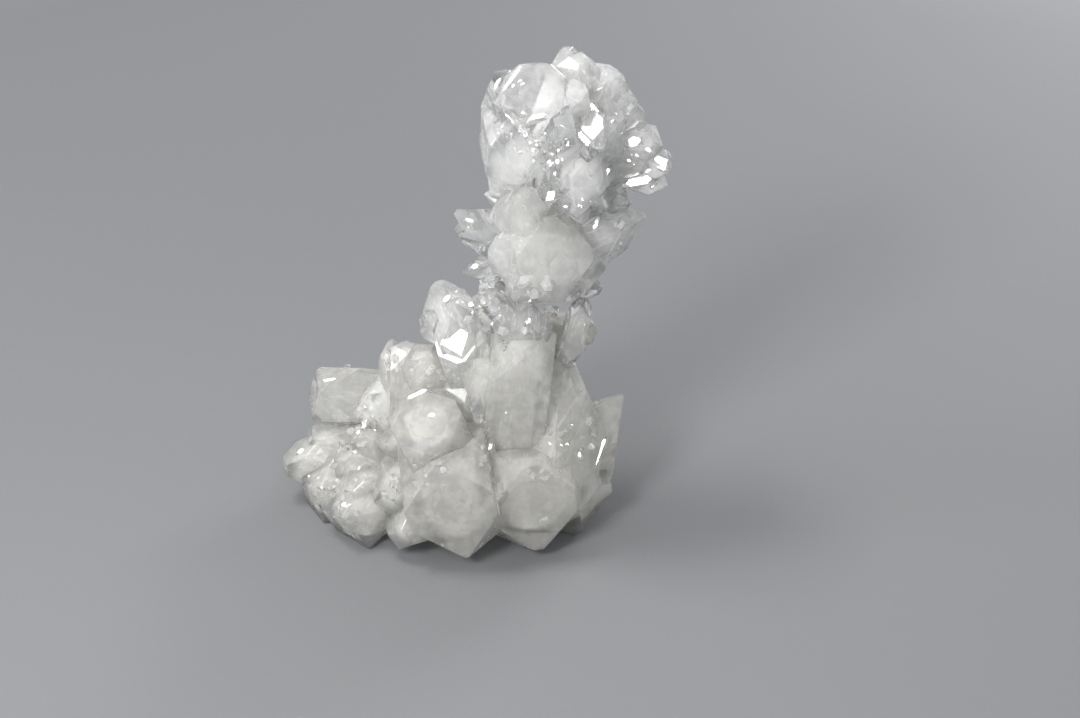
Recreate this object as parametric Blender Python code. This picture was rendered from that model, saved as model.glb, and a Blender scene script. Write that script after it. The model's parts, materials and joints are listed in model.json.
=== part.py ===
"""Apophyllite cluster: square prisms with steep four-sided points, grown into
each other along a leaning stem, with a broad foot cut flat underneath.

Metres, +Z up, origin at the bottom centre of the cluster's box.
"""

import math
import random

import bmesh
import bpy
from mathutils import Matrix, Vector

# ---------------------------------------------------------------- dimensions
MM = 0.001
NAME = "apophyllite_cluster"

POINT_SLOPE = math.radians(60.4)    # point face to basal plane, apophyllite {101}
GRIP_DEPTH = 5.0                    # mm of the foot that lies under the visible line
CENTRE_X = 4.6                      # mm, box centre in the layout frame
CENTRE_Y = 3.7
ROUGH = 0.5                         # how far the faces of one crystal differ
SEED = 11

# The crystals are laid out on a drawing seen slantwise from above. u runs to the
# right and v down, in drawing units; y is the depth in mm, away from the viewer.
VIEW_TILT = math.radians(33.0)      # downward slope of the middle line of sight
VIEW_DIST = 570.0                   # mm from the eye to the middle of the drawing
VIEW_UNITS = 2100.0                 # drawing units per unit of distance
VIEW_MID = (540.0, 359.0)           # middle of the drawing
FOOT_MID = (455.0, 480.0)           # where the middle of the foot is drawn

RIGHT = Vector((1.0, 0.0, 0.0))
UP = Vector((0.0, math.sin(VIEW_TILT), math.cos(VIEW_TILT)))
NEAR = Vector((0.0, -math.cos(VIEW_TILT), math.sin(VIEW_TILT)))


def eye():
    k = VIEW_DIST / VIEW_UNITS
    mid = (Vector((0.0, 0.0, GRIP_DEPTH))
           + RIGHT * (VIEW_MID[0] - FOOT_MID[0]) * k
           + UP * (FOOT_MID[1] - VIEW_MID[1]) * k)
    return mid + NEAR * VIEW_DIST


def at(u, v, y):
    """The point at depth y that the drawing shows at (u, v), in mm."""
    origin = eye()
    ray = (NEAR * -VIEW_UNITS + RIGHT * (u - VIEW_MID[0])
           + UP * (VIEW_MID[1] - v))
    return origin + ray * ((y - origin.y) / ray.y)


# ------------------------------------------------------------------ crystals
# name, u, v, y of the tip; lean in the drawing (degrees from +u, anticlockwise),
# tilt towards the viewer, roll about its own axis; length, half widths a and b,
# and how much of the point is cut square across (mm).
CRYSTALS = [
    # head
    ("head_plate",      535,  91, -12,  100,  72,  45, 22,  7.6,  7.4, 12.2),
    ("head_left",       501,  71,  -2,   97,  16,  35, 24,  4.4,  4.4,  2.4),
    ("head_left_mid",   507,  92,  -3,   94,  14,  12, 22,  6.4,  6.4,  4.0),
    ("head_left_low",   516, 196,  -7,  -90,  10,   8, 18,  6.6,  6.4,  9.0),
    ("head_top",        567,  48,   2,   95,  25,  20, 32,  4.6,  4.6,  1.8),
    ("head_top_right",  580,  58,  -3,   82,  42,   0, 28,  5.6,  5.4,  3.2),
    ("head_slope",      609,  69,   1,   66,  24,   5, 32,  6.2,  6.0,  4.6),
    ("head_step_a",     620,  78,   0,   46,  20,   0, 26,  3.8,  3.8,  3.2),
    ("head_step_b",     630,  92,   0,   42,  18,  10, 24,  3.8,  3.8,  3.0),
    ("head_step_c",     641, 108,   0,   36,  16,   0, 24,  3.8,  3.8,  2.2),
    ("head_right_up",   655, 136,  -3,   22,  30,  40, 28,  5.2,  5.2,  4.4),
    ("head_right",      671, 170,  -5,  -22,  34,   0, 26,  7.0,  7.0,  0.5),
    ("head_oval",       562, 115, -15,   95,  66,  18, 16,  3.6,  2.2,  4.6),
    ("head_patch",      576,  90, -11,   90,  60,  15, 14,  3.4,  2.6,  4.4),
    ("head_broad",      592, 110,  -6,   70,  55,   5, 22,  8.4,  8.0, 12.0),
    ("head_bright",     588, 162, -20,  -95,  20,   5, 17,  2.7,  2.3,  0.4),
    ("head_down",       577, 219, -18,  -98,  22,  26, 40,  6.8,  6.2,  0.3),
    ("head_down_right", 619, 211,  -4,  -74,  15,  10, 22,  3.0,  3.0,  3.0),
    ("head_chin",       549, 196, -16,  -90,  58,  30, 14,  2.5,  2.3,  3.0),
    ("head_prism",      553, 191, -15,  -92,  12,   5, 18,  1.9,  1.9,  1.6),
    ("head_prism_dark", 531, 190, -13, -112,  18,  20, 16,  2.1,  2.1,  0.5),
    # middle of the stem
    ("mid_column",      527, 176,  -8,   90,  38,  45, 32,  7.3,  7.3,  4.0),
    ("mid_front",       555, 260, -18,  -20,  70,   8, 26, 10.4, 10.0, 14.0),
    ("mid_front_right", 589, 268, -13,  -12,  50,  10, 22,  5.4,  5.4,  6.6),
    ("mid_front_left",  512, 262, -15, -120,  54,  12, 22,  7.0,  6.6,  9.0),
    ("mid_right_low",   600, 289,  -9,  -22,  28,  25, 18,  3.2,  3.2,  1.4),
    ("spike_left",      455, 212,  -4,  151,   5,  45, 28,  4.4,  4.4,  0.9),
    ("spike_left_low",  463, 272,  -6,  190,   8,  45, 18,  2.7,  2.7,  0.2),
    ("spike_right",     646, 215,   0,   22,   8,  22, 26,  6.3,  6.3,  0.3),
    # narrow part
    ("neck_block",      438, 283,  -2,  112,  25,   5, 34,  7.4,  6.2,  2.4),
    ("neck_left",       424, 318,  -4,  162,  20,  10, 28,  5.0,  5.0,  4.6),
    ("neck_clear_a",    480, 291, -10,  140,  25,  20, 16,  3.0,  3.0,  0.8),
    ("neck_clear_b",    497, 283, -13,  130,  42,  30, 14,  1.9,  1.6,  0.8),
    ("neck_clear_c",    503, 305, -13,  105,  40,  40, 16,  3.4,  3.0,  1.2),
    ("neck_mid",        528, 303, -14,   80,  42,  10, 18,  3.6,  3.6,  1.6),
    ("neck_mid_b",      546, 317, -14,   60,  44,  25, 18,  3.2,  3.0,  0.8),
    ("neck_white",      566, 302, -14,   92,  24,   0,  9,  1.6,  1.5,  1.0),
    ("neck_right",      584, 297,  -6,   75,  15,  15, 18,  2.6,  2.6,  1.2),
    ("neck_round",      593, 333,  -6,  -10,  30,  20, 18,  3.4,  3.4,  3.0),
    ("neck_right_low",  585, 348,  -5,  -20,  25,  30, 20,  4.0,  4.0,  1.0),
    ("neck_flash",      456, 344, -10,  112,  58,  20, 24,  5.8,  5.4,  8.4),
    ("neck_strip_a",    485, 329, -12,   80,  44,  10, 14,  2.6,  1.8,  1.2),
    ("neck_strip_b",    506, 331, -14,   98,  46,  12, 14,  3.8,  2.0,  2.2),
    # body
    ("body_main",       526, 330, -12,   84,  40,   0, 46,  9.4,  8.0,  9.0),
    ("body_left_wall",  484, 352, -11,  100,  42,  10, 40,  7.4,  7.0,  6.0),
    ("body_right",      566, 345,   0,   84,   6,  45, 46,  8.6,  8.6,  0.3),
    ("body_side",       560, 356,  -8,   78,  34,  22, 42,  6.0,  5.6,  2.0),
    ("body_notch",      480, 422, -17,  -60,  30,  20, 22,  4.2,  4.0,  0.5),
    ("body_thin",       489, 457, -20,  -86,  25,  10, 20,  1.9,  1.7,  0.5),
    ("low_right",       623, 395,  -1,   52,  14,  50, 44,  8.6,  8.6,  0.2),
    ("low_right_front", 592, 468, -12,   44,  40,  12, 46,  8.8,  8.4,  8.0),
    ("low_right_ledge", 585, 455, -12,   30,  45,  15, 26,  5.0,  4.6,  4.0),
    ("cone_down",       524, 501, -27,  -88,  46,  20, 24,  5.2,  5.0,  0.6),
    ("front_low_right", 535, 508, -28,  -70,  62,  10, 36, 13.0, 11.0, 17.0),
    ("front_low_mid",   452, 512, -32,  -96,  62,  14, 36, 14.0, 12.0, 18.0),
    ("front_low_edge",  400, 540, -29, -125,  45,  20, 30,  6.6,  6.6,  4.0),
    ("front_small",     436, 474, -27,  -92,  62,   5, 18,  4.6,  3.2,  5.0),
    ("front_lobe",      503, 488, -28,   38,  40,  15, 22,  3.2,  3.0,  2.6),
    ("front_hex",       427, 422, -22,  105,  70,  28, 34,  9.2,  8.8, 13.0),
    ("left_top",        391, 340,   6,   97,  24,  20, 36,  3.6,  3.6,  0.9),
    ("left_top_b",      406, 346,   3,   86,  28,   5, 32,  3.8,  3.8,  3.8),
    ("left_mid",        420, 352,  -5,  108,  42,  12, 32,  6.4,  6.0,  5.0),
    ("left_block",      314, 394,  14,  174,  18,   8, 36,  7.6,  7.6,  8.0),
    ("left_point",      285, 467,  -2,  192,  20,  12, 40,  6.2,  6.2,  3.0),
    ("left_point_up",   308, 440,   3,  160,  18,  10, 34,  5.6,  5.6,  4.4),
    ("left_knob_a",     356, 432,  -8,  135,  45,  25, 28,  5.0,  4.6,  3.4),
    ("left_knob_b",     382, 446, -15,  190,  48,  10, 26,  4.6,  4.2,  2.0),
    ("left_knob_c",     340, 470, -12,  195,  36,  30, 30,  5.4,  5.0,  4.4),
    ("left_low",        312, 500,  -8,  204,  20,  12, 44,  8.4,  8.4,  9.0),
    ("left_low_front",  345, 530, -20,  228,  22,  10, 40,  9.0,  9.0, 10.0),
    ("left_knob_d",     350, 496, -19,  215,  42,  15, 26,  4.8,  4.4,  2.6),
    ("left_knob_e",     388, 506, -25,  240,  46,  25, 26,  6.0,  5.6,  4.4),
    # far side
    ("back_low_mid",    474, 374,  35,   74, -44,  30, 38,  9.6,  9.2,  4.0),
    ("back_low_left",   372, 392,  31,  122, -42,  10, 34,  8.4,  8.0,  5.0),
    ("back_low_right",  560, 404,  29,   38, -40,  50, 36,  9.0,  8.6,  2.0),
    ("back_low_edge",   430, 440,  34,  -80, -50,  15, 34,  8.2,  8.0,  7.0),
    ("back_body",       512, 302,  25,   84, -26,  20, 34,  7.2,  7.0,  2.0),
    ("back_body_left",  450, 336,  24,  116, -30,  45, 30,  6.0,  5.8,  1.0),
    ("back_stem_a",     546, 222,  18,   62, -46,  25, 24,  5.8,  5.6,  3.0),
    ("back_stem_b",     500, 236,  14,  128, -40,   8, 22,  5.0,  4.8,  0.8),
    ("back_head_a",     556, 118,  18,  112, -50,  35, 22,  6.4,  6.2,  2.0),
    ("back_head_b",     606, 160,  14,   18, -48,  12, 22,  6.2,  5.8,  4.4),
]

# Middle line of the stem: drawing position, depth, and radius in mm.
STEM = [
    (455, 500,  0, 26.0),
    (462, 450,  2, 22.0),
    (485, 390,  2, 16.0),
    (508, 330,  0, 11.0),
    (525, 275,  0,  9.5),
    (540, 215,  0, 11.0),
    (560, 160,  0, 13.0),
    (572, 105,  0, 11.0),
]

# Rows of crystals round the far side of the stem: height along it, how many,
# and half width over stem radius.
FAR_ROWS = [
    (0.01, 7, 0.36), (0.05, 6, 0.32), (0.12, 7, 0.34), (0.22, 6, 0.36),
    (0.32, 6, 0.38), (0.42, 5, 0.40), (0.52, 5, 0.40), (0.62, 5, 0.42),
    (0.73, 5, 0.44), (0.84, 6, 0.42), (0.93, 5, 0.44), (0.99, 4, 0.38),
]


def solid_crystal(name, tip, axis, side, a, b, length, cut, rough=ROUGH):
    """One closed crystal: a square prism that ends in a four-sided point whose
    faces lie over the prism's edges, cut off square by a small basal face."""
    rng = random.Random("%d %s" % (SEED, name))
    z = axis.normalized()
    x = (side - z * side.dot(z)).normalized()
    y = z.cross(x)
    frame = Matrix((x, y, z)).transposed().to_4x4()

    bm = bmesh.new()
    bmesh.ops.create_cube(bm, size=1.0)
    big = 4.0 * max(a, b) + 2.0 * length
    bmesh.ops.scale(bm, vec=(big, big, big), verts=bm.verts)

    planes = []
    for k in range(4):
        turn = math.radians(90.0 * k)
        planes.append((Vector((math.cos(turn), math.sin(turn), 0.0)),
                       (a if k % 2 == 0 else b) * rng.uniform(1 - 0.10 * rough, 1 + 0.06 * rough)))
    mean = 0.5 * (a + b)
    for k in range(4):
        turn = math.radians(45.0 + 90.0 * k)
        n = Vector((math.cos(turn) * math.sin(POINT_SLOPE),
                    math.sin(turn) * math.sin(POINT_SLOPE),
                    math.cos(POINT_SLOPE)))
        planes.append((n, (cut + rng.uniform(0.0, 0.22 * rough) * mean) * math.cos(POINT_SLOPE)))
        foot = Vector((n.x, n.y, -n.z))
        planes.append((foot, (length + rng.uniform(0.5, 1.1) * mean) * math.cos(POINT_SLOPE)))
    planes.append((Vector((0.0, 0.0, 1.0)), 0.0))
    planes.append((Vector((0.0, 0.0, -1.0)), length))

    for n, d in planes:
        parts = bm.verts[:] + bm.edges[:] + bm.faces[:]
        rim = [e for e in bmesh.ops.bisect_plane(bm, geom=parts, dist=1e-6, plane_co=n * d,
                                                 plane_no=n, clear_outer=True)["geom_cut"]
               if isinstance(e, bmesh.types.BMEdge)]
        if len(rim) > 2:
            bmesh.ops.contextual_create(bm, geom=rim)
    bmesh.ops.recalc_face_normals(bm, faces=bm.faces)
    frame.translation = tip - Vector((CENTRE_X, CENTRE_Y, 0.0))
    bmesh.ops.transform(bm, matrix=Matrix.Scale(MM, 4) @ frame, verts=bm.verts)
    mesh = bpy.data.meshes.new(name)
    bm.to_mesh(mesh)
    bm.free()
    return mesh


def laid_out(row):
    name, u, v, y, lean, tilt, roll, length, a, b, cut = row
    lean, tilt, roll = (math.radians(t) for t in (lean, tilt, roll))
    axis = ((RIGHT * math.cos(lean) + UP * math.sin(lean)) * math.cos(tilt)
            + NEAR * math.sin(tilt))
    side = UP if tilt > math.radians(50) else NEAR
    side = (side - axis * side.dot(axis)).normalized()
    side = Matrix.Rotation(roll, 3, axis) @ side
    return solid_crystal(name, at(u, v, y), axis, side, a, b, length, cut)


def stem_point(s):
    """Middle line and radius at s, 0 at the foot to 1 at the head."""
    pos = s * (len(STEM) - 1)
    k = min(int(pos), len(STEM) - 2)
    t = pos - k
    p, q = STEM[k], STEM[k + 1]
    return at(*p[:3]).lerp(at(*q[:3]), t), p[3] + (q[3] - p[3]) * t


def core_crystals():
    """Stout prisms along the middle line, which every crystal roots in."""
    out = []
    for k in range(len(STEM) - 1):
        lo, hi = at(*STEM[k][:3]), at(*STEM[k + 1][:3])
        r = 0.5 * (STEM[k][3] + STEM[k + 1][3])
        axis = hi - lo
        out.append(solid_crystal("core_%d" % k, hi + axis.normalized() * 6.0, axis,
                                 Vector((math.cos(k), math.sin(k), 0.0)),
                                 r * 0.72, r * 0.72, axis.length + 14.0, r * 0.9, 0.3))
    return out


def far_crystals():
    """Crystals on the sides that the drawing doesn't show, of the same habit."""
    rng = random.Random(SEED)
    out = []
    for s, count, wide in FAR_ROWS:
        for k in range(count):
            here, r = stem_point(min(1.0, max(0.0, s + rng.uniform(-0.02, 0.02))))
            turn = math.radians(2 + 176 * (k + rng.uniform(0.2, 0.8)) / count)
            rise = math.radians(rng.uniform(-12, 34) if s > 0.3 else rng.uniform(-4, 40))
            way = Vector((math.cos(turn) * math.cos(rise),
                          math.sin(turn) * math.cos(rise), math.sin(rise)))
            reach = r * rng.uniform(1.06, 1.42)
            size = r * wide * rng.uniform(0.62, 1.30)
            out.append(solid_crystal("far_%02d_%d" % (round(s * 100), k), here + way * reach, way,
                                     Vector((rng.uniform(-1, 1), rng.uniform(-1, 1), 1.0)),
                                     size, size * rng.uniform(0.85, 1.0), reach * 1.1,
                                     size * rng.choice((0.1, 0.3, 0.6, 1.1))))
    return out


def glassy_white():
    mat = bpy.data.materials.new("apophyllite")
    mat.use_nodes = True
    shader = mat.node_tree.nodes["Principled BSDF"]
    shader.inputs["Base Color"].default_value = (0.80, 0.81, 0.80, 1.0)
    shader.inputs["Roughness"].default_value = 0.12
    shader.inputs["Metallic"].default_value = 0.0
    return mat


def keep_outer_skin(obj):
    """Apply the Booleans and drop the small closed pockets left between crystals."""
    depsgraph = bpy.context.evaluated_depsgraph_get()
    mesh = bpy.data.meshes.new_from_object(obj.evaluated_get(depsgraph))
    obj.modifiers.clear()
    obj.data = mesh

    bm = bmesh.new()
    bm.from_mesh(mesh)
    left, shells = set(bm.verts), []
    while left:
        todo = [left.pop()]
        shell = set(todo)
        while todo:
            for edge in todo.pop().link_edges:
                for v in edge.verts:
                    if v in left:
                        left.remove(v)
                        shell.add(v)
                        todo.append(v)
        shells.append(shell)
    shells.sort(key=len)
    bmesh.ops.delete(bm, geom=[v for shell in shells[:-1] for v in shell], context="VERTS")
    bm.to_mesh(mesh)
    bm.free()


def main():
    for obj in list(bpy.data.objects):
        bpy.data.objects.remove(obj, do_unlink=True)

    meshes = core_crystals() + [laid_out(row) for row in CRYSTALS] + far_crystals()

    helpers = bpy.data.collections.new("single_crystals")
    bpy.context.scene.collection.children.link(helpers)
    for mesh in meshes[1:]:
        obj = bpy.data.objects.new("one_" + mesh.name, mesh)
        obj.hide_render = True
        obj.display_type = "WIRE"
        helpers.objects.link(obj)

    cluster = bpy.data.objects.new(NAME, meshes[0])
    bpy.context.scene.collection.objects.link(cluster)
    cluster.data.materials.append(glassy_white())

    grow = cluster.modifiers.new("grown_together", "BOOLEAN")
    grow.operation = "UNION"
    grow.solver = "EXACT"
    grow.operand_type = "COLLECTION"
    grow.collection = helpers

    floor = bpy.data.meshes.new("flat_cut")
    bm = bmesh.new()
    bmesh.ops.create_cube(bm, size=0.4)
    bmesh.ops.translate(bm, vec=(0.0, 0.0, -0.2), verts=bm.verts)
    bm.to_mesh(floor)
    bm.free()
    cutter = bpy.data.objects.new("flat_cut", floor)
    cutter.hide_render = True
    cutter.display_type = "WIRE"
    bpy.context.scene.collection.objects.link(cutter)
    trim = cluster.modifiers.new("flat_foot", "BOOLEAN")
    trim.operation = "DIFFERENCE"
    trim.solver = "EXACT"
    trim.object = cutter
    keep_outer_skin(cluster)


main()
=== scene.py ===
"""Apophyllite cluster on a pale floor: clear to milky square prisms with steep
points, grown into each other, with milky cores, veils and specks inside."""
import json
import math
import random

import bmesh
import bpy
from mathutils import Matrix, Vector, noise
from mathutils.bvhtree import BVHTree

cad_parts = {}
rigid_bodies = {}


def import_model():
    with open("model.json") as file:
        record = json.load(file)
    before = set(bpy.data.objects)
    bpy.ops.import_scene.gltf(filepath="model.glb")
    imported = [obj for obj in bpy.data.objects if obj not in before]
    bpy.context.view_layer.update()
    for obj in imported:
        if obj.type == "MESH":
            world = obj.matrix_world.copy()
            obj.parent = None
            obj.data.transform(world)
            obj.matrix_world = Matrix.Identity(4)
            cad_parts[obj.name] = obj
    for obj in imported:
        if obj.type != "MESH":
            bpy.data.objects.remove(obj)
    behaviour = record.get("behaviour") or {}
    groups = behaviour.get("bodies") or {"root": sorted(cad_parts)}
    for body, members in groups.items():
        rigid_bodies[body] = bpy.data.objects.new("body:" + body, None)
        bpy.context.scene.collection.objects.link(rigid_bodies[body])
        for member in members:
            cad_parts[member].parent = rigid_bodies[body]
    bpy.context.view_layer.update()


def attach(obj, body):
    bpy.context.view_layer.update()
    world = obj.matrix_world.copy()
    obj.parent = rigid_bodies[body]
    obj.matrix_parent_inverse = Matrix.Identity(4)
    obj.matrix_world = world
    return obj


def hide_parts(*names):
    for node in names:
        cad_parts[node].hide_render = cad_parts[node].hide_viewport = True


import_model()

# ---------------------------------------------------------------- dimensions
MM = 0.001
NODE = "apophyllite_cluster"

POINT_SLOPE = math.radians(60.4)    # point face to basal plane
GRIP_DEPTH = 5.0
CENTRE_X = 4.6
CENTRE_Y = 3.7
ROUGH = 0.5
SEED = 11

# The crystals are laid out on a drawing seen slantwise from above, which is also
# the camera's view: u to the right, v down, in drawing units; y is depth in mm.
VIEW_TILT = math.radians(33.0)
VIEW_DIST = 570.0
VIEW_UNITS = 2100.0
VIEW_MID = (540.0, 359.0)
FOOT_MID = (455.0, 480.0)

RIGHT = Vector((1.0, 0.0, 0.0))
UP = Vector((0.0, math.sin(VIEW_TILT), math.cos(VIEW_TILT)))
NEAR = Vector((0.0, -math.cos(VIEW_TILT), math.sin(VIEW_TILT)))
SHIFT = Vector((CENTRE_X, CENTRE_Y, 0.0))
KEY_WAY = Vector((-0.337, 0.0865, 0.938)).normalized()
KEY_FAR = 0.95
KEY_SPOT = Vector((0.0, 0.0, 0.065)) + KEY_WAY * KEY_FAR
HIGH_SPOT = Vector((-0.165, -0.304, 0.331))


def eye():
    k = VIEW_DIST / VIEW_UNITS
    mid = (Vector((0.0, 0.0, GRIP_DEPTH))
           + RIGHT * (VIEW_MID[0] - FOOT_MID[0]) * k
           + UP * (FOOT_MID[1] - VIEW_MID[1]) * k)
    return mid + NEAR * VIEW_DIST


def at(u, v, y):
    """The point at depth y that the drawing shows at (u, v), in mm."""
    origin = eye()
    ray = (NEAR * -VIEW_UNITS + RIGHT * (u - VIEW_MID[0])
           + UP * (VIEW_MID[1] - v))
    return origin + ray * ((y - origin.y) / ray.y)


# ------------------------------------------------------------------ crystals
# name, u, v, y of the tip; lean in the drawing (degrees from +u, anticlockwise),
# tilt towards the viewer, roll about its own axis; length, half widths a and b,
# and how much of the point is cut square across (mm).
CRYSTALS = [
    # head
    ("head_plate",      535,  91, -12,  100,  72,  45, 22,  7.6,  7.4, 12.2),
    ("head_left",       501,  71,  -2,   97,  16,  35, 24,  4.4,  4.4,  2.4),
    ("head_left_mid",   507,  92,  -3,   94,  14,  12, 22,  6.4,  6.4,  4.0),
    ("head_left_low",   516, 196,  -7,  -90,  10,   8, 18,  6.6,  6.4,  9.0),
    ("head_top",        567,  48,   2,   95,  25,  20, 32,  4.6,  4.6,  1.8),
    ("head_top_right",  580,  58,  -3,   82,  42,   0, 28,  5.6,  5.4,  3.2),
    ("head_slope",      609,  69,   1,   66,  24,   5, 32,  6.2,  6.0,  4.6),
    ("head_step_a",     620,  78,   0,   46,  20,   0, 26,  3.8,  3.8,  3.2),
    ("head_step_b",     630,  92,   0,   42,  18,  10, 24,  3.8,  3.8,  3.0),
    ("head_step_c",     641, 108,   0,   36,  16,   0, 24,  3.8,  3.8,  2.2),
    ("head_right_up",   655, 136,  -3,   22,  30,  40, 28,  5.2,  5.2,  4.4),
    ("head_right",      671, 170,  -5,  -22,  34,   0, 26,  7.0,  7.0,  0.5),
    ("head_oval",       562, 115, -15,   95,  66,  18, 16,  3.6,  2.2,  4.6),
    ("head_patch",      576,  90, -11,   90,  60,  15, 14,  3.4,  2.6,  4.4),
    ("head_broad",      592, 110,  -6,   70,  55,   5, 22,  8.4,  8.0, 12.0),
    ("head_bright",     588, 162, -20,  -95,  29,  14, 17,  2.7,  2.3,  0.4),
    ("head_down",       577, 219, -18,  -98,  22,  26, 40,  6.8,  6.2,  0.3),
    ("head_down_right", 619, 211,  -4,  -74,  15,  10, 22,  3.0,  3.0,  3.0),
    ("head_chin",       549, 196, -16,  -90,  58,  30, 14,  2.5,  2.3,  3.0),
    ("head_prism",      553, 191, -15,  -92,  12,   5, 18,  1.9,  1.9,  1.6),
    ("head_prism_dark", 531, 190, -13, -112,  18,  20, 16,  2.1,  2.1,  0.5),
    # middle of the stem
    ("mid_column",      527, 176,  -8,   90,  38,  45, 32,  7.3,  7.3,  4.0),
    ("mid_front",       555, 260, -18,  -20,  70,   8, 26, 10.4, 10.0, 14.0),
    ("mid_front_right", 589, 268, -13,  -12,  50,  10, 22,  5.4,  5.4,  6.6),
    ("mid_front_left",  512, 262, -15, -120,  54,  12, 22,  7.0,  6.6,  9.0),
    ("mid_right_low",   600, 289,  -9,  -22,  28,  25, 18,  3.2,  3.2,  1.4),
    ("spike_left",      455, 212,  -4,  151,   5,  45, 28,  4.4,  4.4,  0.9),
    ("spike_left_low",  463, 272,  -6,  190,   8,  45, 18,  2.7,  2.7,  0.2),
    ("spike_right",     646, 215,   0,   22,   8,  22, 26,  6.3,  6.3,  0.3),
    # narrow part
    ("neck_block",      438, 283,  -2,  112,  25,   5, 34,  7.4,  6.2,  2.4),
    ("neck_left",       424, 318,  -4,  162,  20,  10, 28,  5.0,  5.0,  4.6),
    ("neck_clear_a",    480, 291, -10,  140,  25,  20, 16,  3.0,  3.0,  0.8),
    ("neck_clear_b",    497, 283, -13,  130,  42,  30, 14,  1.9,  1.6,  0.8),
    ("neck_clear_c",    503, 305, -13,  105,  40,  40, 16,  3.4,  3.0,  1.2),
    ("neck_mid",        528, 303, -14,   80,  42,  10, 18,  3.6,  3.6,  1.6),
    ("neck_mid_b",      546, 317, -14,   60,  44,  25, 18,  3.2,  3.0,  0.8),
    ("neck_white",      566, 302, -14,   92,  24,   0,  9,  1.6,  1.5,  1.0),
    ("neck_right",      584, 297,  -6,   75,  15,  15, 18,  2.6,  2.6,  1.2),
    ("neck_round",      593, 333,  -6,  -10,  30,  20, 18,  3.4,  3.4,  3.0),
    ("neck_right_low",  585, 348,  -5,  -20,  25,  30, 20,  4.0,  4.0,  1.0),
    ("neck_flash",      456, 344, -10,  112,  58,  20, 24,  5.8,  5.4,  8.4),
    ("neck_strip_a",    485, 329, -12,   80,  44,  10, 14,  2.6,  1.8,  1.2),
    ("neck_strip_b",    506, 331, -14,   98,  46,  12, 14,  3.8,  2.0,  2.2),
    # body
    ("body_main",       526, 330, -12,   84,  40,   0, 46,  9.4,  8.0,  9.0),
    ("body_left_wall",  484, 352, -11,  100,  42,  10, 40,  7.4,  7.0,  6.0),
    ("body_right",      566, 345,   0,   84,   6,  45, 46,  8.6,  8.6,  0.3),
    ("body_side",       560, 356,  -8,   78,  34,  22, 42,  6.0,  5.6,  2.0),
    ("body_notch",      480, 422, -17,  -60,  30,  20, 22,  4.2,  4.0,  0.5),
    ("body_thin",       489, 457, -20,  -86,  25,  10, 20,  1.9,  1.7,  0.5),
    ("low_right",       623, 395,  -1,   52,  14,  50, 44,  8.6,  8.6,  0.2),
    ("low_right_front", 592, 468, -12,   44,  40,  12, 46,  8.8,  8.4,  8.0),
    ("low_right_ledge", 585, 455, -12,   30,  45,  15, 26,  5.0,  4.6,  4.0),
    ("cone_down",       524, 501, -27,  -88,  46,  20, 24,  5.2,  5.0,  0.6),
    ("front_low_right", 535, 508, -28,  -70,  62,  10, 36, 13.0, 11.0, 17.0),
    ("front_low_mid",   452, 512, -32,  -96,  62,  14, 36, 14.0, 12.0, 18.0),
    ("front_low_edge",  400, 540, -29, -125,  45,  20, 30,  6.6,  6.6,  4.0),
    ("front_small",     436, 474, -27,  -92,  62,   5, 18,  4.6,  3.2,  5.0),
    ("front_lobe",      503, 488, -28,   38,  40,  15, 22,  3.2,  3.0,  2.6),
    ("front_hex",       427, 422, -22,  105,  70,  28, 34,  9.2,  8.8, 13.0),
    ("left_top",        391, 340,   6,   97,  24,  20, 36,  3.6,  3.6,  0.9),
    ("left_top_b",      406, 346,   3,   86,  28,   5, 32,  3.8,  3.8,  3.8),
    ("left_mid",        420, 352,  -5,  108,  42,  12, 32,  6.4,  6.0,  5.0),
    ("left_block",      314, 394,  14,  174,  18,   8, 36,  7.6,  7.6,  8.0),
    ("left_point",      285, 467,  -2,  192,  20,  12, 40,  6.2,  6.2,  3.0),
    ("left_point_up",   308, 440,   3,  160,  18,  10, 34,  5.6,  5.6,  4.4),
    ("left_knob_a",     356, 432,  -8,  135,  45,  25, 28,  5.0,  4.6,  3.4),
    ("left_knob_b",     382, 446, -15,  190,  48,  10, 26,  4.6,  4.2,  2.0),
    ("left_knob_c",     340, 470, -12,  195,  36,  30, 30,  5.4,  5.0,  4.4),
    ("left_low",        312, 500,  -8,  204,  20,  12, 44,  8.4,  8.4,  9.0),
    ("left_low_front",  345, 530, -20,  228,  22,  10, 40,  9.0,  9.0, 10.0),
    ("left_knob_d",     350, 496, -19,  215,  42,  15, 26,  4.8,  4.4,  2.6),
    ("left_knob_e",     388, 506, -25,  240,  46,  25, 26,  6.0,  5.6,  4.4),
    # far side
    ("back_low_mid",    474, 374,  35,   74, -44,  30, 38,  9.6,  9.2,  4.0),
    ("back_low_left",   372, 392,  31,  122, -42,  10, 34,  8.4,  8.0,  5.0),
    ("back_low_right",  560, 404,  29,   38, -40,  50, 36,  9.0,  8.6,  2.0),
    ("back_low_edge",   430, 440,  34,  -80, -50,  15, 34,  8.2,  8.0,  7.0),
    ("back_body",       512, 302,  25,   84, -26,  20, 34,  7.2,  7.0,  2.0),
    ("back_body_left",  450, 336,  24,  116, -30,  45, 30,  6.0,  5.8,  1.0),
    ("back_stem_a",     546, 222,  18,   62, -46,  25, 24,  5.8,  5.6,  3.0),
    ("back_stem_b",     500, 236,  14,  128, -40,   8, 22,  5.0,  4.8,  0.8),
    ("back_head_a",     556, 118,  18,  112, -50,  35, 22,  6.4,  6.2,  2.0),
    ("back_head_b",     606, 160,  14,   18, -48,  12, 22,  6.2,  5.8,  4.4),
]

# Middle line of the stem: drawing position, depth, and radius in mm.
STEM = [
    (455, 500,  0, 26.0),
    (462, 450,  2, 22.0),
    (485, 390,  2, 16.0),
    (508, 330,  0, 11.0),
    (525, 275,  0,  9.5),
    (540, 215,  0, 11.0),
    (560, 160,  0, 13.0),
    (572, 105,  0, 11.0),
]

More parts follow.
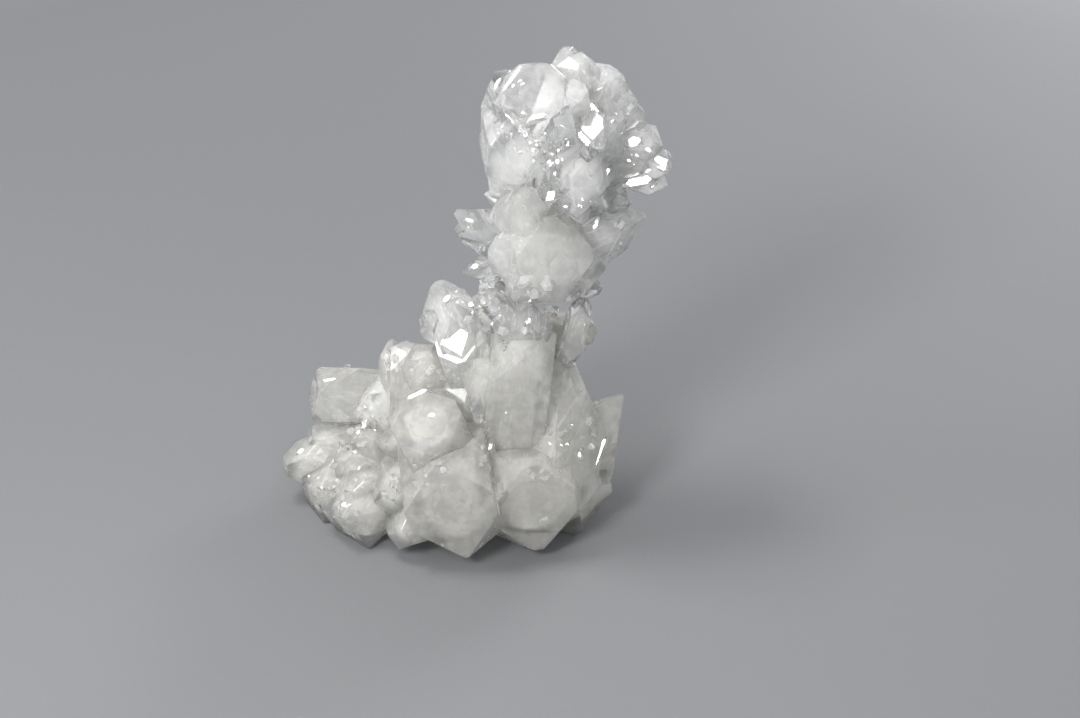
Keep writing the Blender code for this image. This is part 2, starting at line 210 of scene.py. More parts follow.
# Rows of crystals round the far side of the stem: height along it, how many,
# and half width over stem radius.
FAR_ROWS = [
    (0.01, 7, 0.36), (0.05, 6, 0.32), (0.12, 7, 0.34), (0.22, 6, 0.36),
    (0.32, 6, 0.38), (0.42, 5, 0.40), (0.52, 5, 0.40), (0.62, 5, 0.42),
    (0.73, 5, 0.44), (0.84, 6, 0.42), (0.93, 5, 0.44), (0.99, 4, 0.38),
]


# How each crystal looks: milky (0 clear to 1 milky), tone (0 grey, 0.5 white,
# 1 cream), steps (how many parallel overgrowths), proud (how far they stand out).
PLAIN = (0.40, 0.5, 4, 1.0)
LOOKS = {
    "head_plate": (0.25, 0.5, 3, 0.5), "head_left": (0.10, 0.3, 3, 0.6),
    "head_left_mid": (0.26, 0.38, 4, 0.7), "head_left_low": (0.50, 0.5, 4, 0.8),
    "head_top": (0.28, 0.5, 3, 0.8), "head_top_right": (0.30, 0.5, 4, 0.8),
    "head_slope": (0.44, 0.5, 5, 1.0), "head_right_up": (0.46, 0.45, 6, 1.2),
    "head_right": (0.50, 0.45, 6, 1.1), "head_oval": (0.30, 0.1, 1, 0.4),
    "head_patch": (0.55, 0.5, 1, 0.4), "head_broad": (0.52, 0.5, 4, 0.6),
    "head_bright": (0.10, 0.5, 0, 1.0), "head_down": (0.52, 0.4, 4, 0.6),
    "head_chin": (0.15, 0.5, 1, 0.5), "head_prism": (0.12, 0.4, 1, 0.5),
    "head_prism_dark": (0.02, 0.1, 1, 0.5),
    "mid_column": (0.35, 0.60, 4, 0.5), "mid_front": (0.33, 0.60, 4, 0.4),
    "mid_front_right": (0.35, 0.60, 4, 0.6), "mid_front_left": (0.36, 0.50, 4, 0.8),
    "spike_left": (0.20, 0.3, 3, 0.7), "spike_left_low": (0.20, 0.3, 2, 0.7),
    "spike_right": (0.50, 0.48, 4, 0.6),
    "neck_white": (0.95, 0.5, 0, 0.4), "neck_round": (0.50, 0.78, 2, 0.6),
    "neck_right_low": (0.50, 0.66, 2, 0.6), "neck_block": (0.32, 0.42, 5, 0.8),
    "neck_flash": (0.35, 0.5, 0, 0.4),
    "body_main": (0.42, 0.58, 3, 0.4), "body_left_wall": (0.42, 0.5, 5, 0.8),
    "body_right": (0.48, 0.55, 4, 0.6), "body_side": (0.48, 0.6, 4, 0.6),
    "low_right": (0.40, 0.55, 4, 0.6), "low_right_front": (0.46, 0.55, 4, 0.6),
    "cone_down": (0.50, 0.5, 3, 0.6), "front_low_right": (0.40, 0.56, 5, 0.6),
    "front_low_mid": (0.40, 0.56, 5, 0.6), "front_hex": (0.40, 0.5, 5, 0.5),
    "left_block": (0.33, 0.5, 6, 0.9), "left_top": (0.36, 0.5, 3, 0.7),
    "left_low": (0.36, 0.5, 5, 0.9), "left_low_front": (0.36, 0.5, 5, 0.9),
}
FAMILIES = {"head": (0.40, 0.45, 3, 0.9), "neck": (0.26, 0.40, 2, 0.7),
            "left": (0.36, 0.5, 4, 1.0), "back": (0.45, 0.5, 4, 0.9)}


def look_of(name):
    return LOOKS.get(name) or FAMILIES.get(name.split("_")[0]) or PLAIN


# ------------------------------------------------------- one crystal at a time
class Crystal:
    """Where a crystal sits and how big it is, in mm, before it is made."""

    def __init__(self, name, tip, axis, side, a, b, length, cut, rough=ROUGH, look=None):
        self.name, self.tip, self.a, self.b = name, tip, a, b
        self.length, self.cut, self.rough = length, cut, rough
        self.z = axis.normalized()
        self.x = (side - self.z * side.dot(self.z)).normalized()
        self.y = self.z.cross(self.x)
        self.look = look or look_of(name)
        # the foot is a little warmer and glassier than the head
        foot = min(max((78.0 - self.tip.z) / 35.0, 0.0), 1.0)
        self.milky = self.look[0] * (1.0 - 0.20 * foot)
        self.tone = self.look[1] + 0.20 * foot
        self.seed = random.Random("look " + name).random()

    def frame(self):
        m = Matrix((self.x, self.y, self.z)).transposed().to_4x4()
        m.translation = self.tip - SHIFT
        return Matrix.Scale(MM, 4) @ m

    def planes(self, inset=0.0):
        """Outward normals and distances of its faces, in its own frame."""
        rng = random.Random("%d %s" % (SEED, self.name))
        out = []
        for k in range(4):
            turn = math.radians(90.0 * k)
            out.append((Vector((math.cos(turn), math.sin(turn), 0.0)),
                        (self.a if k % 2 == 0 else self.b)
                        * rng.uniform(1 - 0.10 * self.rough, 1 + 0.06 * self.rough)))
        mean = 0.5 * (self.a + self.b)
        for k in range(4):
            turn = math.radians(45.0 + 90.0 * k)
            n = Vector((math.cos(turn) * math.sin(POINT_SLOPE),
                        math.sin(turn) * math.sin(POINT_SLOPE),
                        math.cos(POINT_SLOPE)))
            out.append((n, (self.cut + rng.uniform(0.0, 0.22 * self.rough) * mean)
                        * math.cos(POINT_SLOPE)))
            out.append((Vector((n.x, n.y, -n.z)),
                        (self.length + rng.uniform(0.5, 1.1) * mean) * math.cos(POINT_SLOPE)))
        out.append((Vector((0.0, 0.0, 1.0)), 0.0))
        out.append((Vector((0.0, 0.0, -1.0)), self.length))
        return [(n, d - inset) for n, d in out]

    def mesh(self, inset=0.0, edge=0.0, tag=True):
        bm = bmesh.new()
        bmesh.ops.create_cube(bm, size=1.0)
        big = 4.0 * max(self.a, self.b) + 2.0 * self.length
        bmesh.ops.scale(bm, vec=(big, big, big), verts=bm.verts)
        for n, d in self.planes(inset):
            parts = bm.verts[:] + bm.edges[:] + bm.faces[:]
            rim = [e for e in bmesh.ops.bisect_plane(bm, geom=parts, dist=1e-6, plane_co=n * d,
                                                     plane_no=n, clear_outer=True)["geom_cut"]
                   if isinstance(e, bmesh.types.BMEdge)]
            if len(rim) > 2:
                bmesh.ops.contextual_create(bm, geom=rim)
        if edge:
            bmesh.ops.remove_doubles(bm, verts=bm.verts, dist=0.02)
            bmesh.ops.bevel(bm, geom=bm.edges[:], offset=edge, offset_type="WIDTH",
                            segments=1, affect="EDGES", clamp_overlap=True)
        bmesh.ops.recalc_face_normals(bm, faces=bm.faces)
        bmesh.ops.transform(bm, matrix=self.frame(), verts=bm.verts)
        mesh = bpy.data.meshes.new(self.name)
        bm.to_mesh(mesh)
        bm.free()
        if tag:
            n = len(mesh.polygons)
            for key, kind, prop, value in (("milky", "FLOAT", "value", [self.milky]),
                                           ("tone", "FLOAT", "value", [self.tone]),
                                           ("grain", "FLOAT", "value", [self.seed]),
                                           ("c_axis", "FLOAT_VECTOR", "vector", list(self.z))):
                mesh.attributes.new(key, kind, "FACE").data.foreach_set(prop, value * n)
        return mesh


def laid_out(row):
    name, u, v, y, lean, tilt, roll, length, a, b, cut = row
    lean, tilt, roll = (math.radians(t) for t in (lean, tilt, roll))
    axis = ((RIGHT * math.cos(lean) + UP * math.sin(lean)) * math.cos(tilt)
            + NEAR * math.sin(tilt))
    side = UP if tilt > math.radians(50) else NEAR
    side = (side - axis * side.dot(axis)).normalized()
    side = Matrix.Rotation(roll, 3, axis) @ side
    return Crystal(name, at(u, v, y), axis, side, a, b, length, cut)


def stem_point(s):
    pos = s * (len(STEM) - 1)
    k = min(int(pos), len(STEM) - 2)
    t = pos - k
    p, q = STEM[k], STEM[k + 1]
    return at(*p[:3]).lerp(at(*q[:3]), t), p[3] + (q[3] - p[3]) * t


def core_crystals():
    out = []
    for k in range(len(STEM) - 1):
        lo, hi = at(*STEM[k][:3]), at(*STEM[k + 1][:3])
        r = 0.5 * (STEM[k][3] + STEM[k + 1][3])
        axis = hi - lo
        out.append(Crystal("core_%d" % k, hi + axis.normalized() * 6.0, axis,
                           Vector((math.cos(k), math.sin(k), 0.0)),
                           r * 0.72, r * 0.72, axis.length + 14.0, r * 0.9, 0.3,
                           (0.8, 0.5, 0, 0)))
    return out


def far_crystals():
    rng = random.Random(SEED)
    out = []
    for s, count, wide in FAR_ROWS:
        for k in range(count):
            here, r = stem_point(min(1.0, max(0.0, s + rng.uniform(-0.02, 0.02))))
            turn = math.radians(2 + 176 * (k + rng.uniform(0.2, 0.8)) / count)
            rise = math.radians(rng.uniform(-12, 34) if s > 0.3 else rng.uniform(-4, 40))
            way = Vector((math.cos(turn) * math.cos(rise),
                          math.sin(turn) * math.cos(rise), math.sin(rise)))
            reach = r * rng.uniform(1.06, 1.42)
            size = r * wide * rng.uniform(0.62, 1.30)
            side = Vector((rng.uniform(-1, 1), rng.uniform(-1, 1), 1.0))
            b = size * rng.uniform(0.85, 1.0)
            cut = size * rng.choice((0.1, 0.3, 0.6, 1.1))
            name = "far_%02d_%d" % (round(s * 100), k)
            mix = random.Random(name)
            clear = 0.5 if 0.35 < s < 0.6 or s > 0.8 else 1.0
            out.append(Crystal(name, here + way * reach, way, side, size, b, reach * 1.1, cut,
                               look=(mix.uniform(0.12, 0.7) * clear, mix.uniform(0.35, 0.6),
                                     mix.choice((1, 2, 3)), 0.9)))
    return out


def overgrowths(c):
    """Thinner parallel crystals that stand just proud of a crystal's prism faces and
    points, which leave the ledges and ribs of a stepped growth surface."""
    rng = random.Random("steps " + c.name)
    out = []
    for k in range(c.look[2]):
        along = rng.choice((0, 1))
        sign = rng.choice((-1, 1))
        full, other = (c.a, c.b) if along == 0 else (c.b, c.a)
        proud = c.look[3] * full * rng.uniform(0.012, 0.05) + 0.04
        h = full * rng.uniform(0.25, 0.6)
        w = other * rng.uniform(0.22, 0.8)
        d = (full * 0.99 + proud - h) * sign
        e = rng.uniform(-1, 1) * max(0.0, other * 0.99 + proud * 0.6 - w)
        x, y = (d, e) if along == 0 else (e, d)
        drop = full * rng.uniform(0.3, 2.2) * (0.5 + 0.5 * c.look[3])
        ha, hb = (h, w) if along == 0 else (w, h)
        s = Crystal("%s_s%d" % (c.name, k), c.tip + c.x * x + c.y * y - c.z * drop, c.z, c.x,
                    ha, hb, max(3.0, (c.length - drop) * rng.uniform(0.6, 0.95)),
                    min(ha, hb) * rng.choice((0.0, 0.2, 0.6, 1.0)), 0.6, (0, 0, 0, 0))
        s.milky = min(1.0, max(0.0, c.milky + rng.uniform(-0.12, 0.10)))
        s.tone, s.seed = c.tone, rng.random()
        out.append(s)
    # low terraces on a wide basal face
    if c.cut > 0.7 * c.a and c.a > 3.5:
        for k in range(2 if c.look[3] < 0.6 else 3):
            r = c.cut / 1.76 * rng.uniform(0.45, 0.8)
            off = max(0.0, c.cut / 1.76 - r) * 0.9
            s = Crystal("%s_t%d" % (c.name, k),
                        c.tip + c.x * rng.uniform(-off, off) + c.y * rng.uniform(-off, off)
                        + c.z * rng.uniform(0.05, 0.13), c.z, c.x,
                        r, r * rng.uniform(0.6, 1.0), 3.0, r * 2.2, 0.6, (0, 0, 0, 0))
            s.milky, s.tone, s.seed = c.milky, c.tone, rng.random()
            out.append(s)
    return out


# ----------------------------------------------------------- joining crystals
def join_all(name, meshes, foot=0.0):
    """Grow the closed meshes together into one skin, and keep the outer one."""
    group = bpy.data.collections.new(name + "_singles")
    bpy.context.scene.collection.children.link(group)
    for mesh in meshes[1:]:
        group.objects.link(bpy.data.objects.new("one", mesh))
    obj = bpy.data.objects.new(name, meshes[0])
    bpy.context.scene.collection.objects.link(obj)
    grow = obj.modifiers.new("grow", "BOOLEAN")
    grow.operation, grow.solver = "UNION", "MANIFOLD"
    grow.operand_type, grow.collection = "COLLECTION", group

    floor = bpy.data.meshes.new("flat_cut")
    bm = bmesh.new()
    bmesh.ops.create_cube(bm, size=0.4)
    bmesh.ops.translate(bm, vec=(0.0, 0.0, foot - 0.2), verts=bm.verts)
    bm.to_mesh(floor)
    bm.free()
    floor.attributes.new("milky", "FLOAT", "FACE").data.foreach_set("value", [0.8] * 6)
    floor.attributes.new("tone", "FLOAT", "FACE").data.foreach_set("value", [0.5] * 6)
    floor.attributes.new("grain", "FLOAT", "FACE").data.foreach_set("value", [0.5] * 6)
    floor.attributes.new("c_axis", "FLOAT_VECTOR", "FACE").data.foreach_set("vector", [0.0, 0.0, 1.0] * 6)
    cutter = bpy.data.objects.new("flat_cut", floor)
    bpy.context.scene.collection.objects.link(cutter)
    trim = obj.modifiers.new("trim", "BOOLEAN")
    trim.operation, trim.solver, trim.object = "DIFFERENCE", "MANIFOLD", cutter

    depsgraph = bpy.context.evaluated_depsgraph_get()
    mesh = bpy.data.meshes.new_from_object(obj.evaluated_get(depsgraph))
    obj.modifiers.clear()
    obj.data = mesh
    for single in list(group.objects) + [cutter]:
        bpy.data.objects.remove(single, do_unlink=True)
    bpy.data.collections.remove(group)
    keep_outer_skin(mesh)
    return obj


def keep_outer_skin(mesh):
    bm = bmesh.new()
    bm.from_mesh(mesh)
    left, shells = set(bm.verts), []
    while left:
        todo = [left.pop()]
        shell = set(todo)
        while todo:
            for edge in todo.pop().link_edges:
                for v in edge.verts:
                    if v in left:
                        left.remove(v)
                        shell.add(v)
                        todo.append(v)
        shells.append(shell)
    shells.sort(key=len)
    bmesh.ops.delete(bm, geom=[v for shell in shells[:-1] for v in shell], context="VERTS")
    bm.to_mesh(mesh)
    bm.free()


class Inside:
    """Tells how deep a point lies under a closed skin, and where a line of sight
    from the drawing meets it. Metres."""

    def __init__(self, mesh):
        bm = bmesh.new()
        bm.from_mesh(mesh)
        self.tree = BVHTree.FromBMesh(bm)
        bm.free()

    def depth(self, p):
        spot, normal, _, dist = self.tree.find_nearest(p)
        return dist if (spot - p).dot(normal) > 0 else -dist

    def seen(self, u, v):
        origin = (eye() - SHIFT) * MM
        ray = (NEAR * -VIEW_UNITS + RIGHT * (u - VIEW_MID[0]) + UP * (VIEW_MID[1] - v)).normalized()
        spot, normal, _, _ = self.tree.ray_cast(origin, ray)
        return spot, normal, ray


def druse(inside):
    """Tiny crystals where the drawing shows sparkling rough spots, and in a thin
    scatter round the far side: (u, v) middle, spread, count and size in mm."""
    out = []
    rng = random.Random(71)
    for u, v, du, dv, count, lo, hi in (
            (547, 139, 12, 11, 14, 0.8, 1.8), (545, 158, 9, 10, 6, 0.8, 1.6),
            (610, 150, 12, 30, 6, 0.9, 2.0), (634, 132, 12, 10, 6, 0.8, 1.6),
            (560, 205, 26, 8, 6, 0.8, 1.7), (614, 232, 10, 14, 6, 0.8, 1.6),
            (520, 292, 42, 12, 8, 1.4, 2.8), (575, 300, 20, 14, 4, 1.4, 2.6),
            (500, 325, 36, 9, 4, 1.4, 2.6), (462, 320, 22, 14, 2, 1.2, 2.2),
            (364, 422, 16, 12, 9, 0.9, 2.2), (360, 446, 16, 8, 6, 0.9, 2.0),
            (350, 490, 30, 22, 9, 1.0, 2.4), (322, 470, 20, 20, 5, 1.0, 2.2),
            (478, 415, 8, 14, 6, 0.8, 1.6), (486, 450, 10, 18, 8, 0.8, 1.8),
            (560, 440, 22, 14, 10, 0.9, 2.0), (590, 420, 12, 26, 8, 0.9, 1.8),
            (430, 372, 24, 10, 10, 0.9, 1.9), (398, 365, 18, 10, 8, 0.9, 1.8),
            (420, 478, 20, 12, 8, 0.9, 2.0), (540, 476, 16, 12, 6, 0.9, 1.8)):
        for k in range(count):
            hit, normal, ray = inside.seen(rng.gauss(u, du * 0.55), rng.gauss(v, dv * 0.55))
            if hit is None:
                continue
            way = (normal + Vector([rng.uniform(-0.8, 0.8) for _ in range(3)])).normalized()
            size = rng.uniform(lo, hi) * 0.5
            long = size * rng.uniform(2.2, 4.0)
            out.append(Crystal("druse_%d_%d_%d" % (u, v, k), hit / MM + SHIFT + way * long * 0.45,
                               way, Vector([rng.uniform(-1, 1) for _ in range(3)]),
                               size, size * rng.uniform(0.8, 1.0), long,
                               size * rng.choice((0.0, 0.2, 0.5, 1.0)), 0.6,
                               (rng.uniform(0.5, 0.75) if v > 340 else rng.uniform(0.4, 0.75),
                                0.5, 0, 0)))
    for k in range(120):
        here, r = stem_point(rng.uniform(0.0, 1.0))
        turn = math.radians(rng.uniform(15, 165))
        way = Vector((math.cos(turn), math.sin(turn), rng.uniform(-0.2, 0.5))).normalized()
        start = (here - SHIFT + way * 90.0) * MM
        hit, normal, _, _ = inside.tree.ray_cast(start, -way)
        if hit is None or hit.z < 0.004:
            continue
        way = (normal + Vector([rng.uniform(-0.9, 0.9) for _ in range(3)])).normalized()
        size = rng.uniform(0.45, 1.2)
        long = size * rng.uniform(2.2, 4.0)
        out.append(Crystal("fine_%d" % k, hit / MM + SHIFT + way * long * 0.4, way,
                           Vector([rng.uniform(-1, 1) for _ in range(3)]),
                           size, size * rng.uniform(0.8, 1.0), long,
                           size * rng.choice((0.0, 0.2, 0.5, 1.0)), 0.6,
                           (rng.uniform(0.4, 0.7), 0.5, 0, 0)))
    return out


def bright_facets(inside):
    """Small ledges whose flat faces are turned to flash in the drawing's view:
    (u, v), lean in the drawing, length and width in mm, how far they stand out."""
    out, wanted = [], []
    rng = random.Random(3)
    for u, v, lean, long, wide, proud in (
            (633, 126, 12, 7.0, 2.6, 1.1), (631, 143, 14, 5.4, 2.2, 0.9), (660, 160, -62, 5.6, 4.0, 0.9),
            (640, 181, 8, 9.0, 2.0, 0.6), (550, 197, 40, 3.6, 3.0, 0.9), (538, 117, 4, 6.0, 1.3, 0.3),
            (618, 189, 20, 2.8, 1.8, 0.4), (457, 343, 112, 9.6, 9.2, 1.3), (505, 331, -8, 4.8, 1.1, 0.3),
            (528, 322, 70, 2.4, 1.2, 0.3), (543, 519, 20, 2.6, 1.4, 0.3), (418, 394, 30, 7.0, 1.2, 0.25),
            (431, 416, 10, 2.4, 1.4, 0.3), (364, 427, 50, 2.0, 1.6, 0.4), (371, 421, 10, 1.6, 1.2, 0.4),
            (358, 434, 80, 1.8, 1.2, 0.4), (476, 266, 20, 3.6, 1.2, 0.4), (482, 246, 62, 2.6, 1.5, 0.4),
            (470, 221, -28, 3.4, 0.8, 0.3), (512, 79, 62, 8.0, 0.8, 0.2), (497, 84, 75, 4.0, 0.7, 0.25), (593, 129, 96, 9.4, 5.2, 0.8),
            (655, 184, 40, 3.2, 0.9, 0.3), (648, 150, -40, 4.0, 0.9, 0.3), (633, 175, 14, 5.0, 0.8, 0.3),
            (567, 142, -70, 2.0, 1.2, 0.3), (557, 163, 60, 2.0, 1.4, 0.4), (520, 152, 15, 2.4, 0.7, 0.2),
            (607, 172, 55, 4.2, 1.2, 0.3), (597, 222, 65, 5.0, 1.0, 0.3), (618, 201, 12, 4.6, 3.0, 0.8),
            (575, 306, 78, 2.6, 1.6, 0.3), (553, 316, 30, 2.4, 1.2, 0.3), (600, 452, 70, 9.0, 0.9, 0.2),
            (446, 300, 50, 3.2, 1.4, 0.3), (470, 305, -20, 2.6, 1.2, 0.3), (330, 380, 6, 5.0, 0.8, 0.2),
            (300, 452, 30, 3.0, 1.2, 0.3), (345, 505, 25, 3.0, 1.4, 0.3), (492, 442, 82, 6.0, 0.8, 0.25)):
        wanted.append((u, v, lean, long, wide, proud))
    for u, v, du, dv, count in ((532, 140, 26, 20, 26), (548, 158, 14, 16, 14), (628, 150, 24, 26, 22),
                                (600, 205, 22, 14, 10), (500, 305, 56, 22, 34), (588, 310, 12, 20, 8),
                                (364, 426, 20, 14, 14), (330, 480, 34, 30, 12), (520, 80, 18, 12, 8),
                                (470, 230, 10, 24, 6), (556, 440, 26, 20, 8), (480, 430, 14, 22, 6)):
        for k in range(count):
            wanted.append((rng.gauss(u, du * 0.6), rng.gauss(v, dv * 0.6), rng.uniform(-90, 90),
                           rng.uniform(0.8, 2.2), rng.uniform(0.35, 0.8), rng.uniform(0.15, 0.35)))
    for k, (u, v, lean, long, wide, proud) in enumerate(wanted):
        hit, normal, ray = inside.seen(u, v)
        if hit is None:
            continue
        clear = wide < 7 and inside.tree.ray_cast(hit - ray * 0.0015, (KEY_SPOT - hit).normalized())[0] is None
        face = (((KEY_SPOT if clear else HIGH_SPOT) - hit).normalized() - ray).normalized()
        face = (face + Vector([rng.uniform(-0.02, 0.02) for _ in range(3)])).normalized()
        lean = math.radians(lean)
        axis = RIGHT * math.cos(lean) + UP * math.sin(lean)
        axis = (axis - face * axis.dot(face)).normalized()
        thick = 0.5 * min(long, wide) + 0.3
        out.append(Crystal("bright_%d" % k, hit / MM + SHIFT + axis * long * 0.5 - face * (thick - proud),
                           axis, face, thick, 0.5 * wide, long,
                           0.12 * wide if long > 2.6 * wide else 0.75 * (thick + 0.5 * wide), 0.0,
                           (0.28 if wide > 1.0 and v < 340 else 0.5, 0.5, 0, 0)))
    return out


# ------------------------------------------------------------------- the skin
crystals = [laid_out(row) for row in CRYSTALS] + far_crystals()
cores = core_crystals()
grown = list(crystals)
for crystal in crystals:
    grown += overgrowths(crystal)
rough_skin = join_all("rough_skin", [c.mesh() for c in cores + grown])
rough = Inside(rough_skin.data)
grown += druse(rough) + bright_facets(rough)
bpy.data.objects.remove(rough_skin, do_unlink=True)

skin = join_all("crystals", [c.mesh() for c in cores]
                + [c.mesh(edge=min(0.18, 0.015 + 0.02 * c.a)) for c in grown])
inside = Inside(skin.data)


# ------------------------------------------------------- what is sealed inside
def ghosts(name, rim, share, least, foot):
    """Earlier outlines of the crystals, left inside them as milky surfaces: each
    drawn in from its faces by rim mm plus a share of its half width."""
    small = [c.mesh(inset=rim + 0.5) for c in cores]
    for c in crystals:
        if c.milky >= least and c.a > 2.2:
            small.append(c.mesh(inset=rim + share * c.a * (1.3 - c.milky)))
    return join_all(name, small, foot)


def sheet_points(middle, normal, radius, seed, bend, cells):
    """A wavy round sheet through the crystal, thinning out towards its rim, cut off
    under the skin. Returns points, faces and how strong the sheet is at each."""
    normal = normal.normalized()
    a = normal.orthogonal().normalized()
    b = normal.cross(a)
    grid, pts, fade = {}, [], []
    for i in range(cells + 1):
        for j in range(cells + 1):
            x, y = 2 * i / cells - 1, 2 * j / cells - 1
            r = math.hypot(x, y)
            wobble = 0.75 + 0.35 * noise.noise(Vector((math.atan2(y, x) * 0.9, seed, 0.3)))
            if r > wobble:
                continue
            p = middle + (a * x + b * y) * radius
            q = Vector((x * 1.3, y * 1.3, seed))
            p = p + normal * radius * bend * noise.fractal(q, 0.9, 2.0, 3)
            deep = inside.depth(p)
            if deep < 0.00035:
                continue
            grid[i, j] = len(pts)
            pts.append(p)
            fade.append(min(1.0, (wobble - r) / (0.55 * wobble)))
    faces = []
    for (i, j) in grid:
        square = [grid.get(c) for c in ((i, j), (i + 1, j), (i + 1, j + 1), (i, j + 1))]
        if None not in square:
            faces.append(square)
    return pts, faces, fade


def many_sheets(name, sheets):
    pts, faces, fade = [], [], []
    for args in sheets:
        p, f, w = sheet_points(*args)
        if len(f) < 12:
            continue
        base = len(pts)
        pts += p
        fade += w
        faces += [[base + k for k in face] for face in f]
    mesh = bpy.data.meshes.new(name)
    mesh.from_pydata([tuple(p) for p in pts], [], faces)
    mesh.attributes.new("fade", "FLOAT", "POINT").data.foreach_set("value", fade)
    bm = bmesh.new()
    bm.from_mesh(mesh)
    bmesh.ops.delete(bm, geom=[v for v in bm.verts if not v.link_faces], context="VERTS")
    bm.to_mesh(mesh)
    bm.free()
    mesh.polygons.foreach_set("use_smooth", [True] * len(mesh.polygons))
    obj = bpy.data.objects.new(name, mesh)
    bpy.context.scene.collection.objects.link(obj)
    return obj


def veils():
    out = []
    rng = random.Random(23)
    for c in crystals:
        if c.a < 3.0 or c.tone < 0.31:
            continue
        count = 1 + int(c.a / 4.0)
        for k in range(count):
            deep = rng.uniform(0.5, 2.6) * c.a + 0.3 * c.cut
            spot = (c.tip - SHIFT - c.z * deep + c.x * rng.uniform(-0.4, 0.4) * c.a
                    + c.y * rng.uniform(-0.4, 0.4) * c.b) * MM
            way = Vector([rng.uniform(-1, 1) for _ in range(3)])
            if rng.random() < 0.4:
                way = c.z + way * 0.35
            out.append((spot, way, rng.uniform(0.6, 1.25) * c.a * MM, rng.uniform(0, 90),
                        rng.uniform(0.10, 0.40), 14 if c.a < 5 else 22))
    return many_sheets("veils", out)


def cleavages():
    """Flat internal partings, square to each crystal's length, which flash."""
    out = []
    rng = random.Random(37)
    for c in crystals:
        if c.a < 2.8:
            continue
        for k in range(rng.choice((0, 1, 1, 2)) + (1 if c.milky < 0.2 else 0)):
            deep = rng.uniform(0.8, 3.4) * c.a + 0.2 * c.cut
            spot = (c.tip - SHIFT - c.z * deep + c.x * rng.uniform(-0.5, 0.5) * c.a
                    + c.y * rng.uniform(-0.5, 0.5) * c.b) * MM
            way = c.z + Vector([rng.uniform(-0.04, 0.04) for _ in range(3)])
            out.append((spot, way, rng.uniform(0.35, 0.9) * c.a * MM, rng.uniform(0, 90), 0.012, 12))
    p = under(637, 133, 0.6)
    if p is not None:
        ray = (p - (eye() - SHIFT) * MM).normalized()
        out.append((p, (HIGH_SPOT - p).normalized() - ray, 0.0019, 3.0, 0.01, 16))
    return many_sheets("partings", out)


def grains(name, spots):
    """Small irregular grains: middle in metres, radius in mm, seed."""
    balls = []
    for fine in (1, 2):
        bm = bmesh.new()
        bmesh.ops.create_icosphere(bm, subdivisions=fine, radius=1.0)
        bm.verts.index_update()
        balls.append(([v.co.copy() for v in bm.verts],
                      [[v.index for v in f.verts] for f in bm.faces]))
        bm.free()
    pts, faces = [], []
    for p, r, seed in spots:
        rng = random.Random("grain %s" % seed)
        flat = Vector((rng.uniform(0.6, 1.2), rng.uniform(0.6, 1.2), rng.uniform(0.5, 1.0)))
        turn = Matrix.Rotation(rng.uniform(0, 6.28), 3, Vector((rng.random(), rng.random(), 1)))
        corners, sides = balls[0 if r < 0.16 else 1]
        base = len(pts)
        for v in corners:
            q = v * (1.0 + 0.45 * noise.noise(v * 1.6 + Vector((seed * 7.1, 0, 0))))
            pts.append(p + turn @ Vector((q.x * flat.x, q.y * flat.y, q.z * flat.z)) * r * MM)
        faces += [[base + k for k in side] for side in sides]
    mesh = bpy.data.meshes.new(name)
    mesh.from_pydata([tuple(p) for p in pts], [], faces)
    obj = bpy.data.objects.new(name, mesh)
    bpy.context.scene.collection.objects.link(obj)
    return obj


def under(u, v, deep):
    """A point deep mm under the skin where the drawing shows (u, v), or None."""
    hit, normal, ray = inside.seen(u, v)
    if hit is None:
        return None
    p = hit + (ray - normal * 0.6).normalized() * deep * MM
    return p if inside.depth(p) > 0.2 * MM else None


def dark_specks():
    out = []
    for k, (u, v, r) in enumerate((
            (450, 451, 0.62), (447, 453, 0.40), (457, 215, 0.42), (561, 215, 0.34), (482, 224, 0.20),
            (524, 394, 0.34), (587, 233, 0.26), (626, 162, 0.42), (629, 166, 0.24), (532, 404, 0.18),
            (418, 470, 0.22), (610, 108, 0.16), (575, 420, 0.2), (352, 462, 0.24), (497, 372, 0.14))):
        p = under(u, v, r + 0.35)
        if p is not None:
            out.append((p, r, k))
    rng = random.Random(5)
    for k in range(40):
        here, r = stem_point(rng.uniform(0.0, 1.0))
        p = (here - SHIFT + Vector([rng.gauss(0, 0.55) for _ in range(3)]) * r) * MM
        if inside.depth(p) > 0.0006:
            out.append((p, rng.uniform(0.10, 0.3), 50 + k))
    return grains("dark_specks", out)


def seam_grains():
    out = []
    rng = random.Random(9)
    line = ((556, 348), (549, 378), (541, 399), (533, 421), (523, 434), (508, 441))
    for k in range(70):
        t = rng.uniform(0, len(line) - 1.001)
        (u0, v0), (u1, v1) = line[int(t)], line[int(t) + 1]
        f = t - int(t)
        p = under(u0 + (u1 - u0) * f + rng.gauss(0, 1.6), v0 + (v1 - v0) * f + rng.gauss(0, 1.6),
                  rng.uniform(0.35, 1.0))
        if p is not None:
            out.append((p, rng.uniform(0.08, 0.26), k))
    return grains("seam_grains", out)


def white_grains():
    """Fine white dust trapped in the crystals, thickest along old growth faces."""
    out = []
    rng = random.Random(12)
    for c in crystals:
        for k in range(int(4 + 2.2 * c.a)):
            deep = rng.uniform(0.2, 2.8) * c.a
            edge = rng.uniform(0.5, 0.9)
            x, y = rng.choice(((edge, rng.uniform(-0.9, 0.9)), (-edge, rng.uniform(-0.9, 0.9)),
                               (rng.uniform(-0.9, 0.9), edge), (rng.uniform(-0.9, 0.9), -edge)))
            p = (c.tip - SHIFT - c.z * deep + c.x * x * c.a + c.y * y * c.b) * MM
            if p.z > 0.001 and inside.depth(p) > 0.0003:
                out.append((p, rng.uniform(0.04, 0.15), k + len(out)))
    return grains("white_grains", out)


middle = ghosts("milky_middle", 0.9, 0.30, 0.28, 0.0012)
veil = veils()
parting = cleavages()
specks = dark_specks()
seam = seam_grains()
dust = white_grains()


